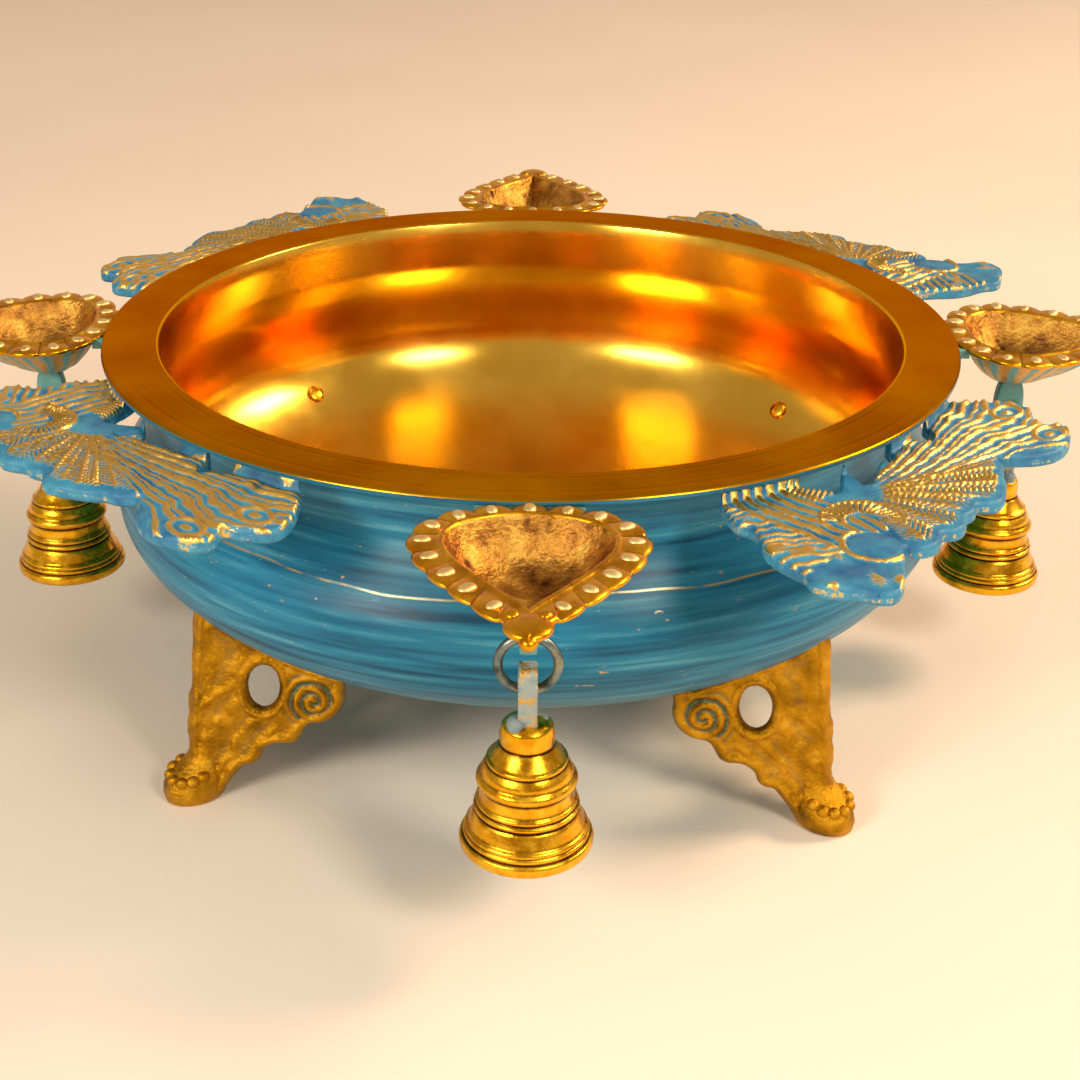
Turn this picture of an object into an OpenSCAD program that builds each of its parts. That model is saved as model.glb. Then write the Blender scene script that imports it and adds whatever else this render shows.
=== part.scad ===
// Brass urli bowl: a turned bowl on four cast feet, with four heart-shaped lamp cups
// and four cast peacock brackets round its rim. A ring and a bell hang under each cup.
// Origin: centre of the floor under the bowl. +Z is up, the front lamp cup points along -Y.

/* [Bowl] */
// Outer radius of the flat rim
rim_r = 125; // [115:1:135]
// Radius of the mouth
mouth_r = 108.8; // [100:0.2:112]
// Height of the rim's top above the floor
rim_z = 112; // [105:1:125]
// Thickness of the rim and of the bowl's wall
wall_t = 2; // [1.5:0.1:3]
// Largest outer radius of the belly
belly_r = 124; // [118:1:130]
// Depth of the widest point of the belly below the rim's top
belly_below = 43.8; // [38:0.2:48]
// Depth of the round bottom below the widest point
bottom_drop = 47.2; // [40:0.2:50]
// Height of the straight neck under the rim
neck_h = 12; // [8:1:16]

/* [Lamp cups] */
// Length of a cup from the rim to the tip of its spout
cup_len = 64; // [56:1:70]
// Width of a cup over its petals
cup_w = 54.4; // [48:0.2:60]
// Depth of a cup below the rim's top
cup_depth = 15.5; // [13:0.5:18]
// Thickness of the petalled flange
flange_t = 2.4; // [2:0.1:3.5]
// Number of petals on each side of a cup
petals = 8; // [6:1:10]

/* [Rings and bells] */
// Distance of the ring and the bell from the bowl's axis
hang_r = 144.9; // [142:0.1:148]
// Mean radius of the ring
ring_r = 7.05; // [6.5:0.05:8]
// Radius of the ring's wire
ring_wire_r = 1.1; // [0.9:0.05:1.2]
// Height of the ring's centre above the floor
ring_z = 79.6; // [78:0.1:82]
// Height of the bell's lip above the floor
bell_z = 30.3; // [26:0.1:34]
// Radius of the bell's lip
bell_lip_r = 16.4; // [15:0.1:18]
// Radius of the clapper's ball
ball_r = 3.6; // [3:0.1:4]

/* [Peacock brackets] */
// Thickness of a bracket's casting
bracket_t = 5; // [4:0.5:6]
// Gap between the rim's top and the bracket's top face
bracket_below = 4; // [2.5:0.5:5]

/* [Feet] */
// Turn of the four feet from the diagonals
foot_turn = -3.6; // [-6:0.1:6]
// Distance of a foot's ridge from the bowl's axis
ridge_r = 118; // [114:1:120]
// Lean of a foot: its toe stands further out than its head
foot_lean = 8; // [0:1:12]
// Thickness of a foot's two wings
wing_t = 5.5; // [4.5:0.5:7]
// Radius of a foot's rivet
rivet_r = 2; // [1.5:0.1:2.5]

/* [Hidden] */
$fn = 48;
SIDES = ["front", "right", "back", "left"];
SIDE_AZ = [-90, 0, 90, 180];
CORNERS = ["front_right", "back_right", "back_left", "front_left"];
FOOT_AZ = [for (k = [0:3]) -45 + 90 * k + foot_turn];
BRACKET_AZ = [-44, 46, 136, 221.5];

belly_z = rim_z - belly_below;
neck_top = rim_z - wall_t;
neck_low = neck_top - neck_h;
rivet_z = 53;
rivet_bite = 5;
rivet_gap = 0.2;

// Half section of the bowl's outer (inset 0) or inner (inset wall_t) surface, from the
// bottom up: a quarter ellipse, then half a cosine wave in to the neck, then the neck.
function bowl_curve(inset) = concat(
    [for (a = [-90:5:0]) [(belly_r - inset) * cos(a), belly_z + (bottom_drop - inset) * sin(a)]],
    [for (t = [0.1:0.1:1])
        [mouth_r + wall_t - inset + (belly_r - mouth_r - wall_t) * (1 + cos(180 * t)) / 2,
         belly_z + t * (neck_low - belly_z)]]);
function reversed(list) = [for (i = [len(list) - 1:-1:0]) list[i]];

module bowl_section() {
    polygon(concat(
        bowl_curve(0),
        [[mouth_r + wall_t, neck_top], [rim_r - 0.5, neck_top], [rim_r, neck_top + 0.5],
         [rim_r, rim_z - 0.5], [rim_r - 0.5, rim_z], [mouth_r, rim_z]],
        reversed(bowl_curve(wall_t))));
}

// Everything inside the bowl's outer surface, used to fit the feet to the belly.
module bowl_envelope() {
    rotate_extrude($fn = 96)
        polygon(concat(bowl_curve(0), [[mouth_r + wall_t, neck_top], [0, neck_top]]));
}

// Places its children on the belly's outer surface at rivet_z, with +Z along the outward normal.
rivet_out = belly_r * sqrt(1 - pow((belly_z - rivet_z) / bottom_drop, 2));
rivet_tilt = 90 + atan((belly_z - rivet_z) * belly_r * belly_r / (rivet_out * bottom_drop * bottom_drop));
module at_rivets() {
    for (az = FOOT_AZ)
        rotate([0, 0, az])
            translate([rivet_out, 0, rivet_z])
                rotate([0, rivet_tilt, 0])
                    children();
}

module bowl() {
    color("goldenrod")
        difference() {
            rotate_extrude($fn = 96) bowl_section();
            at_rivets() cylinder(r = rivet_r, h = 4 * wall_t, center = true, $fn = 24);
        }
}

// Lamp cup, drawn with its back at x = 0 and its spout at x = cup_len.
// Drop-shaped outline: x runs as a cosine, y as a sine times the 1.5th power of a half-angle sine.
function drop_x(t, len) = len / 2 * cos(t);
function drop_y(t, w) = w / 2 / 0.702 * sin(t) * pow(sin(t / 2), 1.5);
function drop(mid, len, w) = concat(
    [for (t = [0:8:176]) [mid + drop_x(t, len), drop_y(t, w)]],
    [for (t = [176:-8:8]) [mid + drop_x(t, len), -drop_y(t, w)]]);
cup_mid = cup_len / 2;

module drop_slab(mid, len, w, h) {
    linear_extrude(h) polygon(drop(mid, len, w));
}

// Flange: a drop-shaped slab with round petals along it, open over the oil.
petal_r = 3.6;
petal_first = 52;
petal_last = 158;
oil_mid = 28.5;
module petal_flange() {
    translate([0, 0, rim_z - flange_t])
        difference() {
            union() {
                drop_slab(cup_mid, cup_len, cup_w - 5, flange_t);
                for (s = [-1, 1], i = [0:petals - 1]) {
                    t = petal_first + i * (petal_last - petal_first) / (petals - 1);
                    translate([cup_mid + 0.93 * drop_x(t, cup_len), s * 0.87 * drop_y(t, cup_w), 0])
                        cylinder(r = petal_r, h = flange_t, $fn = 24);
                }
            }
            translate([0, 0, -1]) drop_slab(oil_mid, cup_len - 19, cup_w - 15.8, flange_t + 2);
        }
}

// Cup: one drop tapers down to a smaller one, [middle, length, width], outside and inside.
CUP_TOP = [29, 54, 45];
CUP_BASE = [23, 22, 15];
OIL_TOP = [oil_mid, 47, 40.5];
OIL_BASE = [24, 20, 14];
slice_t = 0.1;
module tapered_drop(top, top_z, base, base_z) {
    hull() {
        translate([0, 0, top_z]) drop_slab(top[0], top[1], top[2], slice_t);
        translate([0, 0, base_z]) drop_slab(base[0], base[1], base[2], slice_t);
    }
}
module cup_shell() {
    floor_z = rim_z - cup_depth;
    floor_t = 2.4;
    difference() {
        tapered_drop(CUP_TOP, rim_z - flange_t, CUP_BASE, floor_z);
        tapered_drop(OIL_TOP, rim_z, OIL_BASE, floor_z + floor_t);
    }
}

lug_hole_r = 2.2;
lug_hole_z = ring_z + ring_r + 0.4;
module cup_lug() {
    lug_t = 4;
    lug_r = 4.2;
    lug_x = hang_r - rim_r;
    rotate([90, 0, 0])
        translate([lug_x, 0, -lug_t / 2])
            difference() {
                union() {
                    translate([0, lug_hole_z, 0]) cylinder(r = lug_r, h = lug_t);
                    translate([-lug_r, lug_hole_z, 0])
                        cube([2 * lug_r, rim_z - cup_depth + 1 - lug_hole_z, lug_t]);
                }
                translate([0, lug_hole_z, -1]) cylinder(r = lug_hole_r, h = lug_t + 2);
            }
}

// Tab brazed under the rim, cut round on the bowl's neck.
tab_w = 26;
tab_depth = 12;
tab_t = 3;
module rim_tab(width, depth, height) {
    difference() {
        translate([-depth, -width / 2, neck_top - height]) cube([depth + 4, width, height]);
        translate([-rim_r, 0, neck_top - height - 1]) cylinder(r = rim_r - depth, h = height + 2, $fn = 96);
    }
}

module lamp_cup(side) {
    color("orange")
        rotate([0, 0, SIDE_AZ[side]])
            translate([rim_r, 0, 0]) {
                difference() {
                    petal_flange();
                    translate([-rim_r, 0, rim_z - flange_t - 1])
                        cylinder(r = rim_r, h = flange_t + 2, $fn = 96);
                }
                cup_shell();
                rim_tab(tab_w, tab_depth, tab_t);
                cup_lug();
            }
}

// Cast peacock bracket, drawn flat with y outwards from the bowl's axis and the bird at +x.
// Outer edge: from the stem under the rim, round the breast and the crest, then down the tail.
STEM_EDGE = [[46, 109.5], [48.5, 110.5], [53, 116], [56.5, 121.5], [55, 125.5]];
BREAST = [[58, 130], [62.5, 135], [64.5, 141], [65, 148], [68, 152.5]];
CREST = [[66, 158], [63, 160.5], [62, 165.5], [58.5, 168.5], [53, 166.5], [45, 161], [37.5, 155.5]];
FEATHERS = [
    [36.3, 159], [32, 161.2], [27.3, 159.8], [25.2, 157.6], [20.8, 160.8], [16.5, 159.7], [13, 157],
    [9.3, 157.8], [5.2, 155.2], [2.8, 158.1], [-0.5, 159.3], [-5, 157.5], [-13.5, 152.5], [-14, 150.5],
    [-18, 149.5], [-21, 147], [-22, 143.5]];
TAIL_END = [
    [-26.5, 147.5], [-32, 152], [-39, 154], [-47, 152], [-54, 147.5], [-54, 143.5], [-49.5, 139.5],
    [-55, 136.5], [-60, 132], [-58, 125.5], [-51, 118.5], [-44, 113]];
// Inner edge, back to the stem: two pointed barbs and a gap stand clear of the rim.
BARBS = [
    [-36, 116], [-27, 118.5], [-25.5, 122], [-22, 126], [-18.5, 127], [-16.5, 124], [-15.5, 121], [-13, 119.5],
    [-8, 119.5], [-5.5, 123.5], [-2, 127], [0, 127.5], [-0.5, 125], [1.5, 124.6], [7, 127.5], [12, 130.5],
    [16.5, 131], [15, 128], [12.8, 123.5], [14.5, 121.8], [20, 126], [25, 128.6]];
STEM_SIDE = [[27, 126], [29, 121], [31, 116.5], [35, 112.5], [40, 110]];

module peacock(corner) {
    outline = concat(STEM_EDGE, BREAST, CREST, FEATHERS, TAIL_END, BARBS, STEM_SIDE);
    pad_t = bracket_below - wall_t;
    color("steelblue")
        rotate([0, 0, BRACKET_AZ[corner] - 90])
            difference() {
                translate([0, 0, neck_top - pad_t - bracket_t])
                    linear_extrude(bracket_t + pad_t) polygon(outline);
                translate([0, 0, neck_top - pad_t])
                    difference() {
                        cylinder(r = 2 * rim_r, h = wall_t + bracket_t);
                        translate([0, 0, -1]) cylinder(r = rim_r - 1, h = wall_t + bracket_t + 2, $fn = 96);
                    }
            }
}

// Foot: two pierced wings in a V, meeting at a ridge, with a toe block below the ridge.
WING = [[-2, 0], [8, 0], [12, 9], [19, 17], [23, 20.5], [29, 23], [37, 30], [34, 50], [0, 58], [-2, 58]];
module wing() {
    scroll_r = 8.5;
    bud_r = 2.8;
    hole_r = 5;
    rotate([90, 0, 0])
        translate([0, 0, -wing_t / 2])
            linear_extrude(wing_t)
                difference() {
                    union() {
                        polygon(WING);
                        translate([32, 37]) circle(scroll_r);
                        translate([26, 22.5]) circle(bud_r);
                        translate([16.5, 14.5]) circle(bud_r);
                    }
                    translate([18, 34]) circle(hole_r);
                    translate([17.5, 38.5]) circle(0.84 * hole_r);
                }
}

// Toe: a stepped block with a round nose and a round instep, drawn from the side.
toe_w = 14;
module toe() {
    rotate([90, 0, 0])
        translate([0, 0, -toe_w / 2])
            linear_extrude(toe_w)
                union() {
                    translate([-9, 0]) square([15, 10]);
                    translate([2, 5]) circle(5);
                    translate([5, 3]) square([4.5, 5]);
                    translate([6.5, 3]) circle(3);
                    translate([-4, 10]) circle(5);
                }
}

// The post on the ridge takes the rivet.
post_r = 5;
post_low = 4;
floor_cut = 5;
module foot(corner) {
    color("darkgoldenrod")
        difference() {
            rotate([0, 0, FOOT_AZ[corner]])
                translate([ridge_r, 0, 0]) {
                    translate([0, 0, rivet_z])
                        rotate([0, -foot_lean, 0])
                            translate([0, 0, -rivet_z]) {
                                for (s = [-1, 1]) rotate([0, 0, 180 + 45 * s]) wing();
                                translate([-post_r / 2, 0, post_low]) cylinder(r = post_r, h = rivet_z - post_low);
                            }
                    translate([rivet_z * tan(foot_lean) - 1.5, 0, 0]) toe();
                }
            translate([0, 0, -floor_cut]) cylinder(r = 2 * rim_r, h = floor_cut, $fn = 24);
            bowl_envelope();
            at_rivets() translate([0, 0, -wall_t]) cylinder(r = rivet_r, h = wall_t + rivet_bite, $fn = 24);
        }
}

// Rivets through the bowl's wall into the heads of the feet, with domed heads inside the bowl.
module foot_rivets() {
    head_r = 3.4;
    head_h = 1.6;
    color("gold")
        at_rivets() {
            translate([0, 0, -wall_t - rivet_gap])
                cylinder(r = rivet_r, h = wall_t + rivet_gap + rivet_bite, $fn = 24);
            translate([0, 0, -wall_t - rivet_gap - head_h])
                cylinder(r1 = head_r * 0.6, r2 = head_r, h = head_h, $fn = 24);
        }
}

module ring(side) {
    color("slategray")
        rotate([0, 0, SIDE_AZ[side]])
            translate([hang_r, 0, ring_z])
                rotate([0, 90, 0])
                    rotate_extrude() translate([ring_r, 0]) circle(ring_wire_r, $fn = 24);
}

// Bell: turned outside with ridges, bored inside, and a drilled lug on its crown.
BELL_OUT = [[bell_lip_r - 0.6, 0], [bell_lip_r, 0.6], [bell_lip_r, 2.6], [15.3, 3.6], [15.4, 5.6], [14.6, 6.6],
    [13.2, 9], [12.4, 10.6], [12.5, 12.4], [11.6, 13.4], [11.2, 17.2], [11.9, 18.1], [11.9, 19.5],
    [11, 21], [9.6, 23.4], [8.9, 24], [8.8, 25.2], [7.8, 26], [6.4, 28.4], [6, 30.5], [6, 33], [5, 34],
    [0, 34.6]];
BELL_IN = [[0, 27.6], [4.8, 27.6], [6.6, 26], [8.8, 21], [9.6, 17], [9.8, 13], [11.6, 9], [13.4, 5], [14.4, 2],
    [14.8, 0]];
module bell(side) {
    lug_t = 4.4;
    lug_r = 4.4;
    hole_r = 2.3;
    lug_top = ring_z;
    lug_low = bell_z + 33;
    color("gold")
        rotate([0, 0, SIDE_AZ[side]])
            translate([hang_r, 0, 0]) {
                translate([0, 0, bell_z]) rotate_extrude() polygon(concat(BELL_OUT, BELL_IN));
                rotate([90, 0, 0])
                    translate([0, 0, -lug_t / 2])
                        difference() {
                            union() {
                                translate([0, lug_top - lug_r, 0]) cylinder(r = lug_r, h = lug_t);
                                translate([-lug_r, lug_low, 0])
                                    cube([2 * lug_r, lug_top - lug_r - lug_low, lug_t]);
                            }
                            translate([0, ring_z - ring_r - 0.45, -1]) cylinder(r = hole_r, h = lug_t + 2);
                        }
            }
}

// Eye of wire standing in the XZ plane, centred on the origin.
eye_r = 2;
eye_wire_r = 0.6;
module wire_eye() {
    rotate([90, 0, 0]) rotate_extrude($fn = 32) translate([eye_r, 0]) circle(eye_wire_r, $fn = 20);
}

staple_z = bell_z + 25;
pivot_z = staple_z - eye_r;
module staple(side) {
    color("silver")
        rotate([0, 0, SIDE_AZ[side]])
            translate([hang_r, 0, staple_z]) {
                rotate([0, 0, 90]) wire_eye();
                translate([0, 0, eye_r]) cylinder(r = 1.2, h = 0.6);
            }
}

module clapper(side) {
    ball_z = bell_z + 6;
    clapper_eye_z = pivot_z - 0.3;
    rod_r = 0.9;
    color("darkgray")
        rotate([0, 0, SIDE_AZ[side]])
            translate([hang_r, 0, 0]) {
                translate([0, 0, clapper_eye_z]) wire_eye();
                translate([0, 0, ball_z]) cylinder(r = rod_r, h = clapper_eye_z - eye_r - ball_z);
                translate([0, 0, ball_z]) sphere(ball_r);
            }
}

bowl();
foot_rivets();
for (i = [0:3]) {
    lamp_cup(i);
    peacock(i);
    foot(i);
    ring(i);
    bell(i);
    staple(i);
    clapper(i);
}
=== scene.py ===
# %% [markdown]
# # A brass urli bowl with lamp cups, peacock brackets and bells
# An urli is a wide South Asian bowl for water, flowers and floating lamps. This one is turned from
# brass and painted turquoise outside. Castings are brazed round its rim and it stands on four cast
# feet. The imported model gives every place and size. Each cell below replaces one kind of plain CAD
# part with a finely shaped one, worked out with numpy, and gives it its metal or paint.

# %% Load the frame
import math

import bpy
import numpy as np
from mathutils import Matrix, Vector, geometry


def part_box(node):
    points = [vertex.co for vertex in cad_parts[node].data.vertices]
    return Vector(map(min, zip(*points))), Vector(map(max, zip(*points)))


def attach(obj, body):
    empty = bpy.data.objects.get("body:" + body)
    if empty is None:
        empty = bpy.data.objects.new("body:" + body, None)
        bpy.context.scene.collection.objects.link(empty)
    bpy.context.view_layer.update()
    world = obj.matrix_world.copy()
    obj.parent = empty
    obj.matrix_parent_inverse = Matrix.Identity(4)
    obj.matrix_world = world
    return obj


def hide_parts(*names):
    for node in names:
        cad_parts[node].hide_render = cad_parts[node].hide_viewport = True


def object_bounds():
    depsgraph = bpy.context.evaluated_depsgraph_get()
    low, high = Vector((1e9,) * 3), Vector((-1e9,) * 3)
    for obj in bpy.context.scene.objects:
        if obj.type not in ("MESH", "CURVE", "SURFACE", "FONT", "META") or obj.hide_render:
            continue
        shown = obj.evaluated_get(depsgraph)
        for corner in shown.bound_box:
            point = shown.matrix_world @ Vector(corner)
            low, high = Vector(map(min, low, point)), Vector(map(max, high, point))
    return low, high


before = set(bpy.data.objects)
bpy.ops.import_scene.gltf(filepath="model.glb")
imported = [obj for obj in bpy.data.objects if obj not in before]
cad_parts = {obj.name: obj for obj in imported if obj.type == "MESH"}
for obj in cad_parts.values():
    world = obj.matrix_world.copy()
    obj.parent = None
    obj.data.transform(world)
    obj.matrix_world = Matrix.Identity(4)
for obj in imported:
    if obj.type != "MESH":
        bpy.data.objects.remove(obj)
cad_low, cad_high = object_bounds()
MM = 0.001
RIM_Z = cad_high.z
SIDES = {"front": -90, "right": 0, "back": 90, "left": 180}
CORNERS = {"front_right": -44, "back_right": 46, "back_left": 136, "front_left": 221.5}
print("CAD box", tuple(cad_low), tuple(cad_high))

# %% [markdown]
# ## Camera
# The camera looks down on the bowl from the front, as one does at a low table, and close enough that
# perspective widens the near rim. Turns about its own axes are applied one after the other.

# %% Camera
EYE_DISTANCE = 0.52225
EYE_HEIGHT_ANGLE, PAN, TILT, ROLL = np.radians([19.121, 0.347, 7.092, 0.62])


def turn_pair(a, b, angle):
    """Turns two square-on unit vectors in their own plane: a moves towards b by the angle."""
    return a * np.cos(angle) + b * np.sin(angle), b * np.cos(angle) - a * np.sin(angle)


eye = np.array([0, -EYE_DISTANCE * np.cos(EYE_HEIGHT_ANGLE), EYE_DISTANCE * np.sin(EYE_HEIGHT_ANGLE)])
ahead = -eye / EYE_DISTANCE
side = np.array([1.0, 0, 0])
above = np.cross(side, ahead)
ahead, above = turn_pair(ahead, above, -TILT)
ahead, side = turn_pair(ahead, side, PAN)
side, above = turn_pair(side, above, ROLL)
camera = bpy.data.objects.new("camera", bpy.data.cameras.new("camera"))
bpy.context.scene.collection.objects.link(camera)
camera.data.lens = 58.09
camera.data.sensor_width = 36
turned = np.eye(4)
turned[:3, :3] = np.stack([side, above, -ahead], 1)
turned[:3, 3] = eye + [0, 0, RIM_Z]
camera.matrix_world = Matrix(turned.tolist())
bpy.context.scene.camera = camera
print("camera at", turned[:3, 3].round(3))

# %% [markdown]
# ## Surfaces from numbers
# Most pieces are skins over a stack of closed rings: each ring is a row of points, and rows are joined
# with four-sided faces. A ring stack can close on itself, as in a wire ring, or end in two poles.


# %% Skins and pieces
def skin(rings, loop=False):
    """Joins a stack of closed rings, an array of (rings, points, 3), into faces. With loop the last
    ring joins the first; otherwise both ends are closed with a fan round the ring's middle."""
    rows, cols = rings.shape[:2]
    i, j = np.meshgrid(np.arange(rows if loop else rows - 1), np.arange(cols), indexing="ij")
    down, along = (i + 1) % rows, (j + 1) % cols
    quads = np.stack([i * cols + j, i * cols + along, down * cols + along, down * cols + j], -1)
    points = rings.reshape(-1, 3)
    faces = quads.reshape(-1, 4).tolist()
    if not loop:
        first, last = len(points), len(points) + 1
        points = np.vstack([points, rings[0].mean(0), rings[-1].mean(0)])
        j = np.arange(cols)
        k = (j + 1) % cols
        faces += np.stack([np.full(cols, first), k, j], 1).tolist()
        end = (rows - 1) * cols
        faces += np.stack([np.full(cols, last), end + j, end + k], 1).tolist()
    return points, faces


def turned_rings(profile, steps=96):
    """Revolves (radius, height) points round Z: x = r cos a, y = r sin a."""
    a = np.linspace(0, 2 * np.pi, steps, endpoint=False)
    r, z = np.asarray(profile, float).T[:, :, None]
    return np.stack([r * np.cos(a), r * np.sin(a), z + 0 * a], -1)


def tube_rings(path, radius, steps=16, closed=True, flat=1.0):
    """Carries a circle along a path: at each point the circle lies square to the path's direction."""
    path = np.asarray(path, float)
    if closed:
        ahead = np.roll(path, -1, 0) - np.roll(path, 1, 0)
    else:
        ahead = np.gradient(path, axis=0)
    ahead /= np.linalg.norm(ahead, axis=1)[:, None]
    normal = np.cross(ahead[0], ahead[len(ahead) // 4 + 1])
    normal = normal / np.linalg.norm(normal) if np.linalg.norm(normal) > 1e-6 else np.array([0, 0, 1.0])
    across = np.cross(ahead, normal)
    a = np.linspace(0, 2 * np.pi, steps, endpoint=False)[None, :, None]
    r = np.broadcast_to(radius, len(path))[:, None, None]
    return path[:, None] + r * (np.cos(a) * across[:, None] * flat + np.sin(a) * normal)


def blob(centre, radii, steps=16):
    """A ball stretched to three radii: rings of latitude from pole to pole."""
    lat = np.linspace(-np.pi / 2, np.pi / 2, steps // 2 + 2)[1:-1]
    rings = turned_rings(np.stack([np.cos(lat), np.sin(lat)], 1), steps)
    points, faces = skin(rings)
    points[-2:] = [[0, 0, -1], [0, 0, 1]]
    return points * radii + centre, faces


def spin(points, degrees):
    """Turns points about Z."""
    a = math.radians(degrees)
    x, y, z = np.asarray(points).T
    return np.stack([x * math.cos(a) - y * math.sin(a), x * math.sin(a) + y * math.cos(a), z], 1)


def turned_to(azimuth, parts):
    """The same parts, turned about Z to their side of the bowl."""
    return [(spin(points, azimuth), *rest) for points, *rest in parts]


def join(parts, raised, shape, material, value):
    """Adds a shape in one material to the parts. Value says how raised its points are, as one number
    or one for each point."""
    points, faces = shape
    parts.append((points, faces, [material] * len(faces)))
    raised.append(np.full(len(points), value))


def wander(p, scale, seed=0):
    """Smooth pseudo-random field between about -1 and 1: a sum of sines in turned directions."""
    rng = np.random.default_rng(seed)
    total = 0
    for octave in range(7):
        k = rng.normal(size=3)
        k *= (0.7 + 0.35 * octave) / np.linalg.norm(k) * 2 * np.pi / scale
        total = total + np.sin(p @ k + rng.uniform(0, 6.28)) / (1 + 0.3 * octave)
    return total / 3


def piece(name, parts, body, materials, replaced=(), attributes=None):
    """Makes one object, in metres, from parts in millimetres. A part is (points, faces) or
    (points, faces, material numbers); attributes are named values for each point of all parts."""
    points, faces, kinds, start = [], [], [], 0
    for part in parts:
        points.append(part[0])
        faces += [[v + start for v in face] for face in part[1]]
        kinds += list(part[2]) if len(part) > 2 else [0] * len(part[1])
        start += len(part[0])
    mesh = bpy.data.meshes.new(name)
    mesh.from_pydata((np.vstack(points) * MM).tolist(), [], faces)
    mesh.polygons.foreach_set("use_smooth", [True] * len(faces))
    mesh.polygons.foreach_set("material_index", kinds)
    for material in materials:
        mesh.materials.append(material)
    for key, values in (attributes or {}).items():
        mesh.attributes.new(key, "FLOAT", "POINT").data.foreach_set("value", np.asarray(values, float))
    mesh.update()
    thing = bpy.data.objects.new(name, mesh)
    bpy.context.scene.collection.objects.link(thing)
    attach(thing, body)
    if replaced:
        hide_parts(*replaced)
    print(name, len(points), "parts,", len(faces), "faces")
    return thing


# %% [markdown]
# ## Materials
# All the metal is brass. What changes is how it was finished: turned, polished, left as cast, painted
# and rubbed back, or darkened with age. One helper adds a node, sets it up and links it.


# %% Node helper and colours
def linear(text):
    """An sRGB hex colour as linear red, green, blue and alpha."""
    parts = np.array([int(text[i:i + 2], 16) for i in (0, 2, 4)]) / 255
    light = np.where(parts <= 0.04045, parts / 12.92, ((parts + 0.055) / 1.055) ** 2.4)
    return (*light.tolist(), 1.0)


def add(tree, kind, feeds=None, **settings):
    """Adds a node, sets its properties, and gives each input in feeds a value or a link."""
    made = tree.nodes.new("ShaderNode" + kind)
    for key, value in settings.items():
        setattr(made, key, value)
    for key, value in (feeds or {}).items():
        if isinstance(value, bpy.types.NodeSocket):
            tree.links.new(value, made.inputs[key])
        else:
            made.inputs[key].default_value = value
    return made


def new_material(name):
    """An empty material with a Principled shader; returns material, tree, shader, place in metres."""
    material = bpy.data.materials.new(name)
    material.use_nodes = True
    tree = material.node_tree
    shader = tree.nodes["Principled BSDF"]
    place = add(tree, "TexCoord").outputs["Object"]
    return material, tree, shader, place


def noise(tree, place, size_mm, detail=4.0, stretch=(1, 1, 1), rough=0.55):
    """Cloudy pattern whose lumps are about size_mm across, stretched along the axes."""
    at = add(tree, "Mapping", {"Vector": place, "Scale": stretch})
    feeds = {"Vector": at.outputs["Vector"], "Scale": 1 / (size_mm * MM)}
    feeds |= {"Detail": detail, "Roughness": rough}
    return add(tree, "TexNoise", feeds).outputs["Fac"]


def ramp(tree, value, *stops):
    """Colour for a value: stops are (position, hex colour)."""
    made = add(tree, "ValToRGB", {"Fac": value})
    points = made.color_ramp.elements
    while len(points) < len(stops):
        points.new(0.5)
    for point, (position, colour) in zip(points, stops):
        point.position = position
        point.color = linear(colour)
    return made.outputs["Color"]


def fade(tree, value, low, high, to_low=0.0, to_high=1.0):
    """Value between low and high spread smoothly from to_low to to_high."""
    feeds = {"Value": value, "From Min": low, "From Max": high, "To Min": to_low, "To Max": to_high}
    return add(tree, "MapRange", feeds, interpolation_type="SMOOTHSTEP").outputs["Result"]


def mix(tree, amount, first, second):
    """Blend of two colours by amount."""
    feeds = {0: amount, 6: first, 7: second}
    return add(tree, "Mix", feeds, data_type="RGBA").outputs[2]


def maths(tree, operation, *values):
    """One arithmetic step on one, two or three values."""
    return add(tree, "Math", dict(enumerate(values)), operation=operation).outputs[0]


def bump(tree, shader, height, depth_mm, under=None):
    """Bumps as deep as depth_mm where height goes from 0 to 1."""
    feeds = {"Height": height, "Distance": depth_mm * MM, "Strength": 1.0}
    if under is not None:
        feeds["Normal"] = under
    made = add(tree, "Bump", feeds).outputs["Normal"]
    tree.links.new(made, shader.inputs["Normal"])
    return made


def from_axis(tree, place, stretch_z=1.0):
    """Radius and height as a flat vector, so a pattern on it runs in rings round Z."""
    parts = add(tree, "SeparateXYZ", {"Vector": place}).outputs
    r = maths(tree, "POWER", maths(tree, "ADD", maths(tree, "POWER", parts[0], 2.0),
                                   maths(tree, "POWER", parts[1], 2.0)), 0.5)
    feeds = {"X": r, "Y": maths(tree, "MULTIPLY", parts[2], stretch_z)}
    return add(tree, "CombineXYZ", feeds).outputs["Vector"]


def metal(tree, shader, colour, roughness):
    """Links colour and roughness into a bare metal."""
    shader.inputs["Metallic"].default_value = 1.0
    tree.links.new(colour, shader.inputs["Base Color"])
    tree.links.new(roughness, shader.inputs["Roughness"])


# %% [markdown]
# ## Metals and paint
# Brass that is turned and polished is a warm mirror with fine rings. The outside was painted
# turquoise, brushed round the bowl while it turned on a wheel, then scuffed so that gold shows through.


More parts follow.
